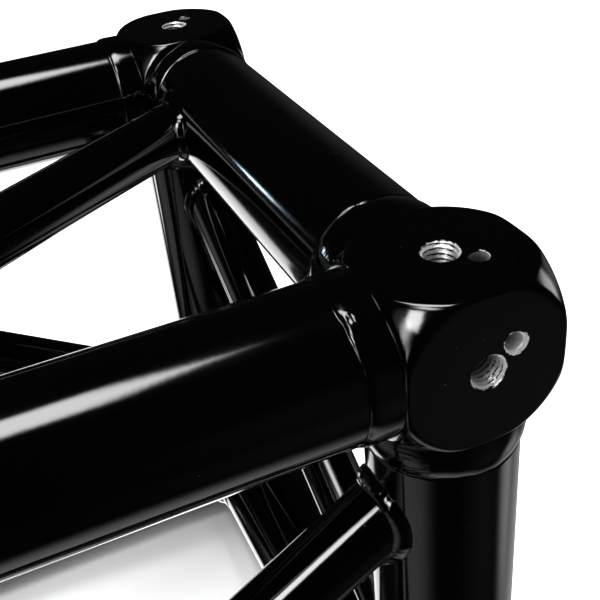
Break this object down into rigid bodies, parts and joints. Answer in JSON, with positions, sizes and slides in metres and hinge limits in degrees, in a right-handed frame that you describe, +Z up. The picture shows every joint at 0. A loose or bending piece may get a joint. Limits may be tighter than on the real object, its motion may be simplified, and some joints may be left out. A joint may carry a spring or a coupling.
{
  "type": "lighting truss section",
  "caption": "Square box truss section of welded round tube with diagonal lacing, an end frame at each end and solid tapped corner blocks for bolting sections together.",
  "frame": {"origin": "under the middle of the section, on the surface that its lower corner blocks stand on", "axes": "+X along the section, +Y across it, +Z up; the pictured corner block is at +X, -Y, top"},
  "size_m": [1, 0.302, 0.302],
  "materials": {
    "chord_tube": "gloss",
    "end_frame_tube": "gloss",
    "brace_tube": "gloss",
    "corner_block": "gloss"
  },
  "bodies": {
    "root": {"chord_back_bottom": "chord_tube", "chord_back_top": "chord_tube", "chord_front_bottom": "chord_tube", "chord_front_top": "chord_tube", "corner_block_left_back_bottom": "corner_block", "corner_block_left_back_top": "corner_block", "corner_block_left_front_bottom": "corner_block", "corner_block_left_front_top": "corner_block", "corner_block_right_back_bottom": "corner_block", "corner_block_right_back_top": "corner_block", "corner_block_right_front_bottom": "corner_block", "corner_block_right_front_top": "corner_block", "end_brace_left": "brace_tube", "end_brace_right": "brace_tube", "end_post_left_back": "end_frame_tube", "end_post_left_front": "end_frame_tube", "end_post_right_back": "end_frame_tube", "end_post_right_front": "end_frame_tube", "end_rail_left_bottom": "end_frame_tube", "end_rail_left_top": "end_frame_tube", "end_rail_right_bottom": "end_frame_tube", "end_rail_right_top": "end_frame_tube", "lacing_back_1": "brace_tube", "lacing_back_2": "brace_tube", "lacing_back_3": "brace_tube", "lacing_bottom_1": "brace_tube", "lacing_bottom_2": "brace_tube", "lacing_bottom_3": "brace_tube", "lacing_front_1": "brace_tube", "lacing_front_2": "brace_tube", "lacing_front_3": "brace_tube", "lacing_top_1": "brace_tube", "lacing_top_2": "brace_tube", "lacing_top_3": "brace_tube"}
  },
  "joints": []
}
